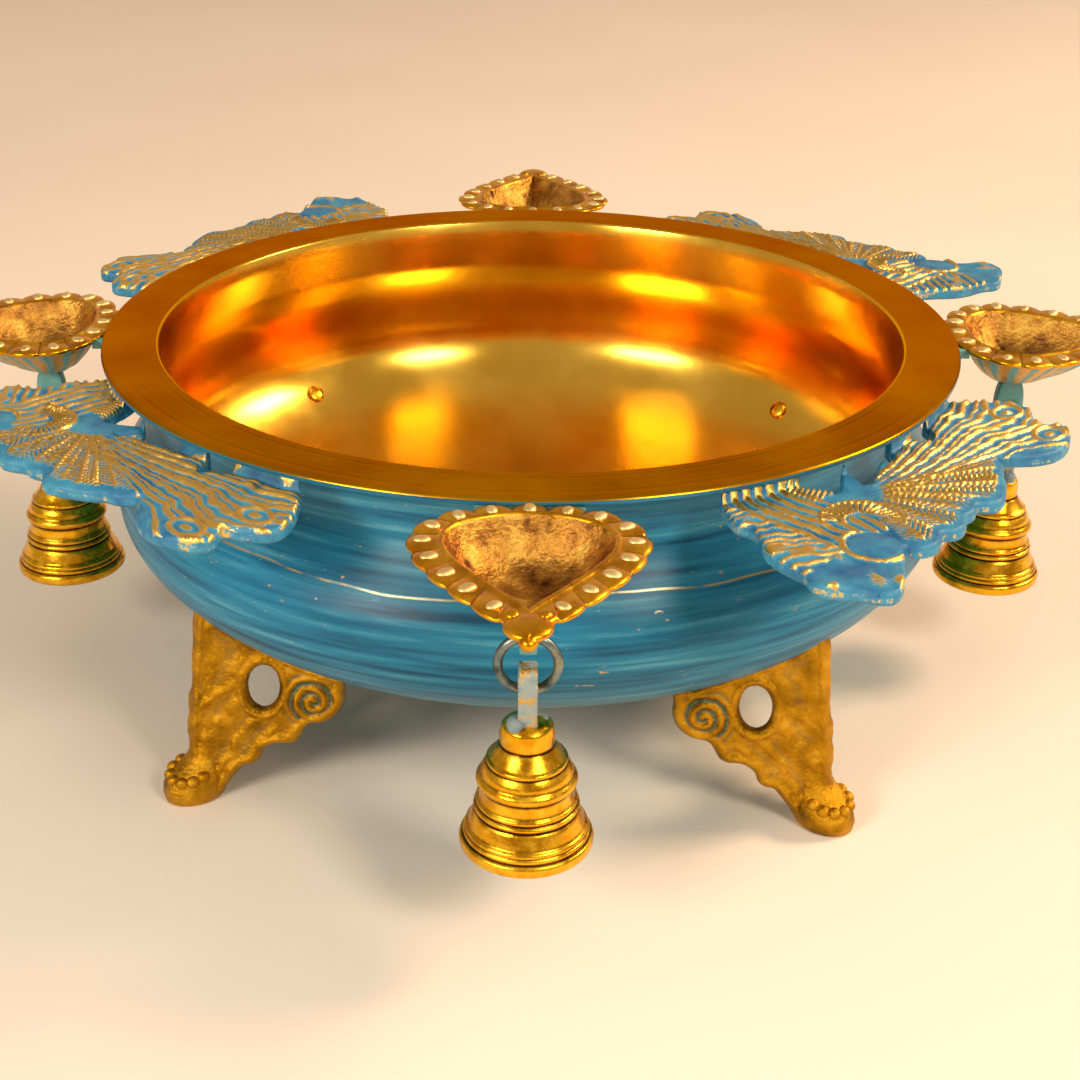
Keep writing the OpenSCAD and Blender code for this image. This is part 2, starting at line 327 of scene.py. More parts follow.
# %% Turned brass and turquoise paint
def turned_brass(name, line_mm, depth_mm, rough, colours):
    """Turned brass, satin polished: tool rings a hair apart stretch each highlight across the rings.
    The tint keeps the metal golden at a glancing angle, where it would otherwise turn white."""
    material, tree, shader, place = new_material(name)
    rings = noise(tree, from_axis(tree, place), line_mm, 6)
    smears = noise(tree, place, 30, 5)
    metal(tree, shader, ramp(tree, smears, (0.35, colours[0]), (0.65, colours[1])),
          fade(tree, smears, 0.3, 0.7, *rough))
    bump(tree, shader, rings, depth_mm)
    round_z = add(tree, "VectorMath", {0: (0, 0, 1), 1: place}, operation="CROSS_PRODUCT")
    shader.inputs["Specular Tint"].default_value = linear("F2B23C")
    shader.inputs["Anisotropic"].default_value = 0.5
    shader.inputs["Anisotropic Rotation"].default_value = 0.25
    tree.links.new(round_z.outputs[0], shader.inputs["Tangent"])
    return material


def over_paint(tree, shader, paint, gold, bare, paint_rough, gold_rough):
    """Paint over brass: where bare is 1 the metal shows."""
    tree.links.new(mix(tree, bare, paint, gold), shader.inputs["Base Color"])
    tree.links.new(bare, shader.inputs["Metallic"])
    tree.links.new(fade(tree, bare, 0, 1, paint_rough, gold_rough), shader.inputs["Roughness"])


def bowl_paint():
    """Glossy turquoise paint brushed on a turning bowl: long level streaks, gold flecks and one
    scratched gold line round the shoulder, 82 mm above the floor. Low on the belly the blue takes on
    a cloudy grey-green, a painted reflection of the floor."""
    material, tree, shader, place = new_material("brushed turquoise paint")
    streaks = noise(tree, place, 2.6, 5, (0.05, 0.05, 1))
    cloud = noise(tree, place, 34, 3, (0.5, 0.5, 1))
    blue = ramp(tree, streaks, (0.3, "134B6B"), (0.43, "1D6C92"), (0.57, "2A82A6"), (0.72, "5BA3BC"))
    height = add(tree, "SeparateXYZ", {"Vector": place}).outputs[2]
    # Painted reflection of the floor: below 56 mm the blue takes on a cloudy grey-green, most strongly
    # below 30 mm.
    floor_reflection = mix(tree, fade(tree, cloud, 0.3, 0.7, 0.15, 0.5), blue, linear("4F7A6C"))
    blue = mix(tree, fade(tree, height, 0.030, 0.056, 1, 0), blue, floor_reflection)
    flecks = fade(tree, noise(tree, place, 1.5, 5, (0.3, 0.3, 1)), 0.66, 0.72)
    patches = fade(tree, noise(tree, place, 22, 3, (0.5, 0.5, 1)), 0.45, 0.62)
    flecks = maths(tree, "MULTIPLY", flecks, patches)
    wobble = fade(tree, noise(tree, place, 110, 3), 0.2, 0.8, 0.0790, 0.0840)
    away = maths(tree, "ABSOLUTE", maths(tree, "SUBTRACT", height, wobble))
    line = maths(tree, "MULTIPLY", fade(tree, away, 0.00005, 0.0004, 1, 0),
                 fade(tree, noise(tree, place, 12, 6), 0.36, 0.56))
    bare = maths(tree, "MAXIMUM", flecks, line)
    over_paint(tree, shader, blue, linear("D8B660"), maths(tree, "MULTIPLY", bare, 0.7), 0.34, 0.35)
    shader.inputs["Specular IOR Level"].default_value = 0.2
    bump(tree, shader, streaks, 0.05)
    return material


# The inside has finer rings than the rim. The rim's brass is a darker, more orange copy of the same
# metal: painted shade for the dimmer gold that the flat rim shows.
brass = turned_brass("turned polished brass", 0.9, 0.010, (0.18, 0.26), ("EDBD44", "F8D058"))
shaded_rim_brass = turned_brass("turned rim brass painted darker", 1.3, 0.010, (0.22, 0.32), ("B07A0A", "CE9610"))
paint = bowl_paint()

# %% [markdown]
# ## The bowl
# A turned bowl is one profile spun round its axis. From the bottom up the profile is a quarter
# ellipse, then half a cosine wave in to a straight neck, then a flat rim with shallow tool grooves.
# The inside follows the same curve, one wall thickness in. Spinning it gives every shape at once.

# %% Bowl
RIM_R = (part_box("bowl")[1].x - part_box("bowl")[0].x) / 2 / MM
RIM_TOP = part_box("bowl")[1].z / MM
MOUTH_R = 108.8
WALL = 2.0
BELLY_R = 124.0
BELLY_Z = RIM_TOP - 43.8
BOTTOM_DROP = 47.2
NECK_LOW = RIM_TOP - WALL - 12
BOWL_STEPS = 240


def bowl_curve(inset):
    """Half profile, bottom to neck: (r, z) = (R cos a, z0 + D sin a), then a cosine easing inwards."""
    a = np.radians(np.linspace(-88, 0, 56))
    low = np.stack([(BELLY_R - inset) * np.cos(a), BELLY_Z + (BOTTOM_DROP - inset) * np.sin(a)], 1)
    t = np.linspace(0, 1, 26)[1:]
    narrower = (BELLY_R - MOUTH_R - WALL) * (1 - np.cos(np.pi * t)) / 2
    high = np.stack([BELLY_R - inset - narrower, BELLY_Z + t * (NECK_LOW - BELLY_Z)], 1)
    return np.vstack([low, high])


def belly_height(r):
    """Height of the belly's outer surface at radius r, below its widest point."""
    return BELLY_Z - BOTTOM_DROP * np.sqrt(np.clip(1 - (np.asarray(r) / BELLY_R) ** 2, 0, 1))


a = np.radians(np.linspace(-90, 90, 9))
rim_edge = np.stack([RIM_R - 1 + np.cos(a), RIM_TOP - 1 + np.sin(a)], 1)
r = np.arange(RIM_R - 1.4, MOUTH_R + 0.6, -0.28)
grooves = 0.03 * np.clip(np.sin(r * 2.3) + np.sin(r * 5.7 + 1), 0.6, 2) - 0.018
grooves = grooves + 0.08 * np.exp(-((r - 120.6) / 0.35) ** 2) + 0.08 * np.exp(-((r - 112.2) / 0.3) ** 2)
rim_face = np.stack([r, RIM_TOP - grooves], 1)
fillet = np.array([[MOUTH_R + WALL, RIM_TOP - WALL - 1], [MOUTH_R + WALL + 1, RIM_TOP - WALL]])
lip = np.array([[MOUTH_R + 0.3, RIM_TOP - 0.08], [MOUTH_R, RIM_TOP - 0.5], [MOUTH_R, RIM_TOP - 6]])
profile = np.vstack([bowl_curve(0), fillet, rim_edge, rim_face, lip, bowl_curve(WALL)[::-1]])
painted_rows = len(bowl_curve(0)) + len(fillet) + 5
points, faces = skin(turned_rings(profile, BOWL_STEPS))
row = np.arange(len(profile) - 1)
kind = 0 + (row >= painted_rows) + (row >= painted_rows + len(rim_face) + len(lip))
kinds = np.concatenate([np.repeat(kind, BOWL_STEPS), np.repeat([0, 2], BOWL_STEPS)])
materials = [paint, shaded_rim_brass, brass]
piece("bowl_turned", [(points, faces, kinds)], "root", materials, ["bowl"])

# %% [markdown]
# ## Cast metals
# Sand casting leaves a grainy skin. The raised parts are rubbed bright and the hollows keep their
# paint or dirt, so each casting carries a value called raised, which its material reads.


# %% Cast finishes
def cast_brass(name, colours, rough=(0.28, 0.45), grain_mm=1.1, depth_mm=0.10, hollow="5A3410"):
    """Brass as cast and brushed: hollows dark, high spots bright, skin grainy."""
    material, tree, shader, place = new_material(name)
    grain = noise(tree, place, grain_mm, 6)
    cloud = noise(tree, place, 7, 5)
    raised = add(tree, "Attribute", attribute_name="raised").outputs["Fac"]
    colour = ramp(tree, cloud, *zip((0.3, 0.5, 0.7), colours))
    shade = fade(tree, maths(tree, "ADD", raised, maths(tree, "MULTIPLY", grain, 0.3)), 0.15, 0.55)
    metal(tree, shader, mix(tree, shade, linear(hollow), colour), fade(tree, cloud, 0.3, 0.7, *rough))
    bump(tree, shader, grain, depth_mm)
    return material


def rubbed_patina(name, low, high, gold, bare_from, bare_to, rough=0.42, depth_mm=0.14, grain_mm=0.8):
    """Blue-green paint on a casting, rubbed back: pale gold on the raised lines, paint in between."""
    material, tree, shader, place = new_material(name)
    grain = noise(tree, place, grain_mm, 6)
    cloud = noise(tree, place, 8, 5)
    raised = add(tree, "Attribute", attribute_name="raised").outputs["Fac"]
    colour = ramp(tree, maths(tree, "MULTIPLY_ADD", raised, 0.5, maths(tree, "MULTIPLY", cloud, 0.8)),
                  (0.25, low), (0.62, high))
    spread = maths(tree, "ADD", raised, maths(tree, "MULTIPLY", maths(tree, "SUBTRACT", grain, 0.5), 0.9))
    spread = maths(tree, "ADD", spread, maths(tree, "MULTIPLY", maths(tree, "SUBTRACT", cloud, 0.5), 0.5))
    bare = fade(tree, spread, bare_from, bare_to)
    over_paint(tree, shader, colour, linear(gold), bare, rough, 0.38)
    bump(tree, shader, grain, depth_mm)
    return material


# The flange is brushed bright, the inside is left as cast, and the beads are worn almost white.
petal_gold = cast_brass("brushed cast brass", ("C27E0C", "E09E18", "F2BC30"), (0.24, 0.40), depth_mm=0.05)
rough_gold = cast_brass(
    "rough cast brass", ("86592C", "BC8A3C", "E8BE5A"), (0.34, 0.5), 1.3, 0.5, "4A2A18")
pale_gold = cast_brass("polished high spots", ("EFC878", "F6D896", "FAE6B4"), (0.42, 0.55), depth_mm=0.06)
# Under the flange the paint lies in the hollows. On the birds it is deep blue, rubbed through to gold.
cup_paint = rubbed_patina("blue-green cup paint", "2C6F78", "5B9A9C", "D9A650", 0.62, 0.8)
bird_paint = rubbed_patina("rubbed turquoise patina", "0C5590", "3C9CC0", "EBC468", 0.24, 0.42, 0.5)
# The feet are bare brass gone brown, with a little green paint left in the curls.
foot_gold = cast_brass(
    "antique cast brass", ("8C6412", "B98616", "D9A42A"), (0.34, 0.55), 1.2, 0.55, "44685E")

# %% [markdown]
# ## Lamp cups
# A diya is a small heart-shaped oil lamp. Here the heart is a drop: x runs as a cosine, y as a sine
# times a power of a half-angle sine. A stack of such drops, wider and narrower, makes the wall, the
# flange and the inside in one skin. The flange is pushed in and out to make petals, with beads on them.

# %% Cup outline and petals
CUP_MIDDLE, CUP_LENGTH, CUP_WIDTH = 32, 63.5, 52.4
PETALS = 8
SPOUT = 11.0
turn = np.linspace(0, 2 * np.pi, 320, endpoint=False)


def drop(middle, length, width, angle=turn):
    """Drop outline: x = middle + length/2 cos t, y = width/1.404 sin t sin(t/2)^1.5."""
    y = width / 1.404 * np.sin(angle) * np.abs(np.sin(angle / 2)) ** 1.5
    return np.stack([middle + length / 2 * np.cos(angle), y], 1)


edge = drop(CUP_MIDDLE, CUP_LENGTH, CUP_WIDTH)
steps = np.linalg.norm(np.roll(edge, -1, 0) - edge, axis=1)
along = np.concatenate([[0], np.cumsum(steps)[:-1]])
half = steps.sum() / 2
from_tip = np.minimum(along, 2 * half - along)
pitch = (half - SPOUT) / (PETALS + 0.5)
phase = np.clip((from_tip - SPOUT) / pitch, 0, None)
puff = np.sqrt(np.clip(1 - (2 * (phase % 1) - 1) ** 2, 0, 1)) * (from_tip > SPOUT)
ahead = np.roll(edge, -1, 0) - np.roll(edge, 1, 0)
outward = np.stack([ahead[:, 1], -ahead[:, 0]], 1) / np.linalg.norm(ahead, axis=1)[:, None]


def cup_ring(middle, length, width, z, bulge=0.0, dip=0.0):
    """One drop of the stack; bulge pushes petals outwards and dip sinks the joints between them."""
    flat = drop(middle, length, width) + outward * (bulge * puff)[:, None]
    return np.column_stack([flat, z - dip * (1 - puff) * (from_tip > SPOUT)])


# Each ring: middle, length, width, height under the rim's top, and for the flange its bulge and dip.
OUTSIDE = [
    (23, 8, 6, -15.5), (23, 16, 12, -15.3), (23.2, 22, 16.5, -14.4), (24, 28, 21.5, -12.8),
    (25, 34, 27, -10.6), (26.3, 40, 32.5, -8.2), (27.5, 45, 37, -6), (28.5, 49, 40.5, -4.2),
    (29, 51, 42, -3)]
FLANGE = [
    (30.2, 55, 46, -3.2, 0.3, 0), (31.4, 60, 49.5, -3.0, 1.0, 0), (31.9, 62.4, 51.4, -2.6, 1.6, 0.1),
    (32, 63.2, 52.2, -1.95, 1.7, 0.3), (31.9, 62.6, 51.7, -1.35, 1.6, 0.7),
    (31.6, 61, 50.4, -1.0, 1.3, 1.0), (31.1, 58.6, 48.4, -0.85, 0.9, 1.1),
    (30.5, 55.6, 46, -0.9, 0.5, 0.9), (29.9, 53, 43.8, -1.05, 0.2, 0.6), (29.5, 51, 42.2, -1.2, 0, 0.3),
    (29.2, 49.6, 41, -0.95, 0, 0), (28.9, 48.4, 40, -0.6, 0, 0), (28.6, 47, 39, -0.8, 0, 0)]
INSIDE = [
    (28.4, 46, 38.2, -1.2), (28.2, 44.6, 37.2, -2.4), (27.8, 42.5, 35.4, -4.2),
    (27.2, 39.5, 32.6, -6.4), (26.4, 35.5, 29, -8.6), (25.6, 30.5, 24.5, -10.6),
    (24.8, 24.5, 19, -12.2), (24.2, 17, 12.8, -13.1), (24, 9, 6.5, -13.5)]


def plate_with_hole(hole, reach, thickness, power=2.6, steps=48):
    """A drilled lug in the XZ plane. reach is how far it goes right, up, left and down from the hole's
    centre. Rings run from the hole out over the front face, round the edge and back: a closed loop."""
    centre_x, centre_z, hole_r = hole
    a = np.linspace(0, 2 * np.pi, steps, endpoint=False)
    c, s = np.cos(a), np.sin(a)
    right, up, left, low = reach
    x = np.where(c > 0, right, left) * np.sign(c) * np.abs(c) ** (2 / power)
    z = np.where(s > 0, up, low) * np.sign(s) * np.abs(s) ** (2 / power)
    outer, inner = np.stack([x, z]), np.stack([c, s]) * hole_r
    thick = thickness / 2
    plan = [(0, 0.55), (0.15, 0.92), (0.85, 1), (0.97, 0.88), (1, 0.55)]
    rows = [(k, -y) for k, y in plan] + [(k, y) for k, y in plan[::-1]]
    rings = [np.stack([*(inner + (outer - inner) * k), np.full(steps, y * thick)], 1) for k, y in rows]
    rings = np.array(rings)[:, :, [0, 2, 1]]
    return skin(rings + [centre_x, 0, centre_z], loop=True)


# %% Build the four lamp cups
HANG_R = 144.9
SPADE = [
    ([57, 0, -2.2], [5.6, 5.4, 1.9]), ([61.2, 0, -3.1], [2.8, 2.2, 1.9]),
    ([53.6, 3.4, -1.2], [1.9, 1.7, 1.2]), ([53.6, -3.4, -1.2], [1.9, 1.7, 1.2])]
BEAD_SHAPE = [1.15, 0.80, 0.52]
BEAD_INSET = 2.1
BEAD_DROP = 1.15
LUG_GAP, LUG_HOLE_R, LUG_T = 0.4, 2.2, 4
LUG_REACH = (4.2, 10.4, 4.2, 4.2)
TAB_PLAN = [(-11.5, -11), (-9, -13), (3, -13), (3, 13), (-9, 13), (-11.5, 11)]
TAB_BASE, TAB_TOP = -4.9, -2.1
RING_Z = (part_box("ring_front")[0].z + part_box("ring_front")[1].z) / 2 / MM
RING_R = 7.05
PETAL, PAINTED, ROUGH, WORN = range(4)
stack = np.array([cup_ring(*ring) for ring in OUTSIDE + FLANGE + INSIDE])
rng = np.random.default_rng(3)
crest = (puff >= np.roll(puff, 1)) & (puff >= np.roll(puff, -1)) & (from_tip > SPOUT)
bead_at = np.flatnonzero(crest)


def cup_parts(seed):
    """All the parts of one lamp cup, drawn with its back at the rim and its spout along +X."""
    cols = len(turn)
    rough = wander(stack.reshape(-1, 3), 6, seed).reshape(stack.shape[:2])
    shaken = stack.copy()
    first_in = len(OUTSIDE) + len(FLANGE)
    shaken[first_in:, :, 2] += 0.35 * rough[first_in:]
    shaken[:len(OUTSIDE), :, 2] += 0.25 * rough[:len(OUTSIDE)]
    points, faces = skin(shaken)
    row = np.arange(len(stack) - 1)
    kind = np.where(row < len(OUTSIDE) + 1, PAINTED, np.where(row < first_in, PETAL, ROUGH))
    kinds = np.concatenate([np.repeat(kind, cols), np.full(cols, PAINTED), np.full(cols, ROUGH)])
    parts = [(points, faces, kinds)]
    groove = np.where(from_tip > SPOUT, 0.05 + 0.8 * puff, 0.6)
    values = np.tile(groove, len(stack))
    values[first_in * cols:] = 0.45 + 0.4 * rough.ravel()[first_in * cols:]
    raised = [np.concatenate([values, [0.5, 0.5]])]
    for i in bead_at:
        size = np.array(BEAD_SHAPE) * rng.uniform(1.75, 2.15)
        ball, ball_faces = blob([0, 0, 0], size, 14)
        lean = math.degrees(math.atan2(outward[i, 1], outward[i, 0]))
        spot = edge[i] - outward[i] * BEAD_INSET
        join(parts, raised, (spin(ball, lean) + [*spot, -BEAD_DROP], ball_faces), WORN, 0.9)
    for centre, radii in SPADE:
        join(parts, raised, blob(centre, radii, 28), PETAL, 0.8)
    hole = (HANG_R - RIM_R, RING_Z + RING_R + LUG_GAP - RIM_TOP, LUG_HOLE_R)
    join(parts, raised, plate_with_hole(hole, LUG_REACH, LUG_T), PAINTED, 0.45)
    tab = np.array([[(x, y, z) for x, y in TAB_PLAN] for z in (TAB_BASE, TAB_TOP)])
    join(parts, raised, skin(tab), PAINTED, 0.4)
    return parts, np.concatenate(raised)


for seed, (name, azimuth) in enumerate(SIDES.items()):
    parts, raised = cup_parts(seed)
    placed = turned_to(azimuth, [(p + [RIM_R, 0, RIM_TOP], *rest) for p, *rest in parts])
    materials = [petal_gold, cup_paint, rough_gold, pale_gold]
    piece("lamp_cup_" + name + "_cast", placed, "root", materials, ["lamp_cup_" + name],
          {"raised": raised})

# %% [markdown]
# ## Flat castings
# The brackets and the wings of the feet are flat castings with a modelled face. An outline is filled
# with small triangles, every point is lifted by a height formula, and a wall closes the two faces.
# Because height is a function of x and y, any ridge, groove or dome is one line of arithmetic.

# %% Tools for flat castings
PITCH = 0.45


def soften(points, times=2):
    """Rounds a closed outline: each side keeps its middle half, and its corners are cut off."""
    p = np.array(points, float)
    for _ in range(times):
        q = np.roll(p, -1, 0)
        p = np.stack([0.75 * p + 0.25 * q, 0.25 * p + 0.75 * q], 1).reshape(-1, 2)
    return p


def even(points, pitch):
    """Cuts a closed outline into equal steps."""
    p = np.vstack([points, points[:1]])
    s = np.concatenate([[0], np.cumsum(np.linalg.norm(np.diff(p, axis=0), axis=1))])
    at = np.linspace(0, s[-1], int(s[-1] / pitch) + 1)[:-1]
    return np.stack([np.interp(at, s, p[:, 0]), np.interp(at, s, p[:, 1])], 1)


def outline_sides(loops):
    """Start and end of every side of every loop."""
    return zip(np.vstack(loops), np.vstack([np.roll(loop, -1, 0) for loop in loops]))


def is_inside(p, loops):
    """Even-odd rule: a ray towards +X crosses the loops an odd number of times."""
    odd = np.zeros(len(p), bool)
    for a, b in outline_sides(loops):
        spans = (a[1] > p[:, 1]) != (b[1] > p[:, 1])
        odd ^= spans & (p[:, 0] < a[0] + (p[:, 1] - a[1]) * (b[0] - a[0]) / (b[1] - a[1] + 1e-12))
    return odd


def to_edge(p, loops):
    """Distance from each point to the nearest side of the loops."""
    best = np.full(len(p), 1e9)
    for a, b in outline_sides(loops):
        t = np.clip((p - a) @ (b - a) / ((b - a) @ (b - a)), 0, 1)
        best = np.minimum(best, np.linalg.norm(p - a - t[:, None] * (b - a), axis=1))
    return best


def sheet(loops, pitch=PITCH):
    """Fills the first loop with triangles and leaves the others open. Gives the points, the triangles
    and each point's distance from the edge."""
    loops = [even(loop, pitch) for loop in loops]
    low, high = loops[0].min(0), loops[0].max(0)
    x, y = np.meshgrid(np.arange(low[0], high[0], pitch), np.arange(low[1], high[1], pitch * 0.866))
    x[::2] += pitch / 2
    grid = np.stack([x.ravel(), y.ravel()], 1)
    grid = grid[is_inside(grid, loops)]
    grid = grid[to_edge(grid, loops) > 0.6 * pitch]
    edges, start = [], 0
    for loop in loops:
        k = np.arange(len(loop))
        edges += np.stack([start + k, start + (k + 1) % len(loop)], 1).tolist()
        start += len(loop)
    found = geometry.delaunay_2d_cdt([Vector(p) for p in np.vstack(loops + [grid])], edges, [], 0, 1e-5)
    flat, triangles = np.array([tuple(p) for p in found[0]]), np.array([tuple(t) for t in found[2]])
    triangles = triangles[is_inside(flat[triangles].mean(1), loops)]
    a, b, c = flat[triangles].transpose(1, 0, 2)
    backward = (b - a)[:, 0] * (c - a)[:, 1] < (b - a)[:, 1] * (c - a)[:, 0]
    triangles[backward] = triangles[backward][:, ::-1]
    return flat, triangles, to_edge(flat, loops)


def slab(flat, triangles, top, bottom):
    """Closes a sheet into a casting. Sides used by only one triangle are where the wall stands."""
    n = len(flat)
    sides = np.vstack([triangles[:, [0, 1]], triangles[:, [1, 2]], triangles[:, [2, 0]]])
    rim = sides[~np.isin(sides[:, 0] * n + sides[:, 1], sides[:, 1] * n + sides[:, 0])]
    posts = rim[:, 0]
    order = np.zeros(n, int)
    order[posts] = np.arange(len(posts))
    depth = (bottom - top)[posts]
    steps = [np.column_stack([flat[posts], top[posts] + depth * k]) for k in (0.15, 0.5, 0.85)]
    bands = [rim] + [order[rim] + 2 * n + m * len(posts) for m in range(3)] + [rim + n]
    walls = np.vstack([np.column_stack([low, high[:, ::-1]]) for high, low in zip(bands, bands[1:])])
    points = np.vstack([np.column_stack([flat, top]), np.column_stack([flat, bottom])] + steps)
    return points, triangles.tolist() + (triangles[:, ::-1] + n).tolist() + walls.tolist()


def smooth(v, low, high):
    """0 below low, 1 above high and an S-curve between."""
    t = np.clip((v - low) / (high - low), 0, 1)
    return t * t * (3 - 2 * t)


def between(v, low, high, soft=1.0):
    """1 between low and high, fading out over soft."""
    return smooth(v, low - soft, low) * (1 - smooth(v, high, high + soft))


def ribs(phase, sharp=1.5):
    """Ridges one unit of phase apart, from 0 in the grooves to 1 on top."""
    return (0.5 + 0.5 * np.cos(2 * np.pi * phase)) ** sharp


def cord(distance, width):
    """One rounded raised line."""
    return np.exp(-(distance / width) ** 2)


def rounded(d, radius):
    """How far a face drops near its edge: a quarter circle of the given radius."""
    t = np.clip(1 - d / radius, 0, 1)
    return radius * (1 - np.sqrt(1 - t * t))


# %% [markdown]
# ## Peacock brackets
# Each bracket is drawn flat, with y outwards from the bowl's middle. The bird's head and crest are at
# +X. Its fan of feathers rises from a point low on its back, and its long tail runs to two lobes.

# %% Bracket outline
STEM_EDGE = [[46, 109.5], [48.5, 110.5], [53, 116], [56.5, 121.5], [55, 125.5]]
BREAST = [[58, 130], [62.5, 135], [64.5, 141], [65, 148], [68, 152.5]]
CREST = [[66, 158], [63, 160.5], [62, 165.5], [58.5, 168.5], [53, 166.5], [45, 161], [37.5, 155.5]]
FEATHERS = [
    [36.3, 159], [32, 161.2], [27.3, 159.8], [25.2, 157.6], [20.8, 160.8], [16.5, 159.7], [13, 157],
    [9.3, 157.8], [5.2, 155.2], [2.8, 158.1], [-0.5, 159.3], [-5, 157.5], [-13.5, 152.5], [-14, 150.5],
    [-18, 149.5], [-21, 147], [-22, 143.5]]
TAIL_END = [
    [-26.5, 147.5], [-32, 152], [-39, 154], [-47, 152], [-54, 147.5], [-54, 143.5], [-49.5, 139.5],
    [-55, 136.5], [-60, 132], [-58, 125.5], [-51, 118.5], [-44, 113]]
BARBS = [
    [-36, 116], [-27, 118.5], [-25.5, 122], [-22, 126], [-18.5, 127], [-16.5, 124], [-15.5, 121],
    [-13, 119.5], [-8, 119.5], [-5.5, 123.5], [-2, 127], [0, 127.5], [-0.5, 125], [1.5, 124.6],
    [7, 127.5], [12, 130.5], [16.5, 131], [15, 128], [12.8, 123.5], [14.5, 121.8], [20, 126], [25, 128.6]]
STEM_SIDE = [[27, 126], [29, 121], [31, 116.5], [35, 112.5], [40, 110]]
BIRD_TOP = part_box("peacock_front_right")[1].z / MM - 2.0
BIRD_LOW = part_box("peacock_front_right")[0].z / MM


# %% Peacock relief
def tail_relief(x, y):
    """Seven lines that fan out to the left: v counts lines between a falling and a rising parabola."""
    back = 10 - x
    falling = 134.5 - 0.0875 * back - 0.0015 * back ** 2
    rising = 140.5 + 0.0019 * back ** 2
    v = (y - falling) / (rising - falling) + 0.10 * np.sin(x / 5.5) * smooth(-x, 15, 45)
    v = v + 0.07 * wander(np.stack([x, y, 0 * x], 1), 16, 11)
    there = (1 - smooth(x, 10, 19)) * between(v, -0.85, 1.2, 0.15)
    eyes = 0
    for eye_x, eye_y in ((-45.5, 146.2), (-50.5, 130.5)):
        rho = np.hypot((x - eye_x) / 1.5, y - eye_y)
        eyes = np.maximum(eyes, np.maximum(cord(rho - 3.4, 0.7), cord(rho - 0.4, 0.9)))
        there = there * smooth(rho, 3.6, 4.6)
    return np.maximum(np.maximum(ribs(3 * v, 3), 0.8 * ribs(3 * v + 0.42, 7)) * there, eyes)


def feather_relief(x, y):
    """Feathers round a root: a rib down each, beads between them and slanting barbs on both sides."""
    rho, theta = np.hypot(x - 24, y - 131), np.degrees(np.arctan2(y - 131, x - 24))
    line, there = 0, between(theta, 64, 161, 3) * smooth(rho, 6, 11)
    for rib, half in ((72, 11), (95, 12), (117, 10), (132, 6), (145, 6), (157, 6)):
        off = np.radians(theta - rib) * rho
        edge_off = np.radians(np.abs(theta - rib) - half) * rho
        within = (np.abs(theta - rib) < half + 1)
        beads = ribs(rho / 1.5, 1) * cord(edge_off, 0.6)
        barbs = 0.75 * ribs(rho / 1.75 + np.abs(off) / 1.9, 1.2) * (edge_off < -0.6)
        line = line + within * np.maximum(np.maximum(cord(off, 0.5), beads), barbs)
    return np.clip(line, 0, 1) * there, there


def wing_relief(x, y):
    """The ribbed wing: short ribs across a crescent round a point above the bird's back."""
    rho, theta = np.hypot(x - 34.8, y - 142.5), np.arctan2(142.5 - y, 34.8 - x)
    there = between(rho, 3.6, 10.3, 0.5) * between(theta, -0.9, 2.4, 0.15)
    lines = ribs(theta * 7 / 1.35 + rho / 9, 1.2) * between(rho, 4.4, 9.2, 0.6)
    return np.maximum(lines, cord(rho - 9.9, 0.5)) * there, there


def bird_relief(x, y, edge):
    """Height in mm below or above the face, and how far each spot sticks out, from 0 to 1."""
    tail = tail_relief(x, y)
    fan, on_fan = feather_relief(x, y)
    wing, on_wing = wing_relief(x, y)
    disc = np.hypot(x - 43.3, y - 151.7)
    on_disc = 1 - smooth(disc, 6.4, 7.0)
    fan, on_fan = fan * smooth(edge, 1.6, 3.2) * (1 - on_wing), on_fan * (1 - on_wing)
    head = smooth(x, 36, 42) * (1 - on_wing) * (1 - on_disc)
    flow = (x - 39 - 0.16 * (y - 130) - 1.5 * np.sin(y / 6)) / 3.6
    neck = ribs(flow, 1.2) * between(y, 108, 148, 2) * between(x, 33, 50, 2)
    lumps = wander(np.stack([x, y, 0 * x], 1), 13, 5)
    fringe = ribs((0.55 * x + 0.83 * y) / 3.1 + 0.35 * lumps, 1.8) * between(x, 51, 70, 2) * (y < 149)
    comb = ribs((y - 0.4 * x) / 1.5, 1.2) * between(x, 26, 33.5, 1) * (y < 128)
    collar = cord(disc - 7.6, 0.6) * head
    worn = np.clip(0.9 + 0.35 * wander(np.stack([x, y, 0 * x], 1), 8, 21), 0.4, 1.15)
    neck = neck * (1 - on_fan) * (1 - on_wing) * (1 - on_disc)
    crown = 0.55 * head * smooth(lumps, 0.1, 0.7)
    line = worn * np.maximum.reduce([tail, fan, wing, neck, fringe * 0.8, comb, collar, crown])
    dome = np.sqrt(np.clip(1 - (disc / 6.6) ** 2, 0, 1))
    form = 0.9 * dome + 0.45 * head * lumps + 0.35 * on_wing + 0.3 * on_fan * smooth(edge, 0, 6)
    return 1.15 * line + form - 1.4, np.clip(line - 0.5 * on_disc, 0, 1)


around = STEM_EDGE + BREAST + CREST + FEATHERS + TAIL_END + BARBS + STEM_SIDE
flat, triangles, edge = sheet([soften(around)[::-1]])
x, y = flat.T
height, line = bird_relief(x, y, edge)
top = np.minimum(BIRD_TOP + height, BIRD_TOP + 0.6) - rounded(edge, 1.1)
under_rim = 1 - smooth(np.hypot(x, y), 122.8, 124.2)
top = top + (BIRD_TOP + 1.9 - top) * under_rim
uneven = 0.25 * (wander(flat @ np.eye(2, 3), 9, 8) + 1) * smooth(edge, 0, 2)
bottom = BIRD_LOW + rounded(edge, 0.8) + uneven
bird, bird_faces = slab(flat, triangles, top, bottom)
scuffed = 0.16 + 0.22 * wander(bird, 5, 4)
scuffed[:len(flat)] = np.maximum(line, 0.05)
scuffed[len(flat):2 * len(flat)] = 0.12
for name, azimuth in CORNERS.items():
    piece("peacock_" + name + "_cast", [(spin(bird, azimuth - 90), bird_faces)], "root",
          [bird_paint], ["peacock_" + name], {"raised": scuffed})

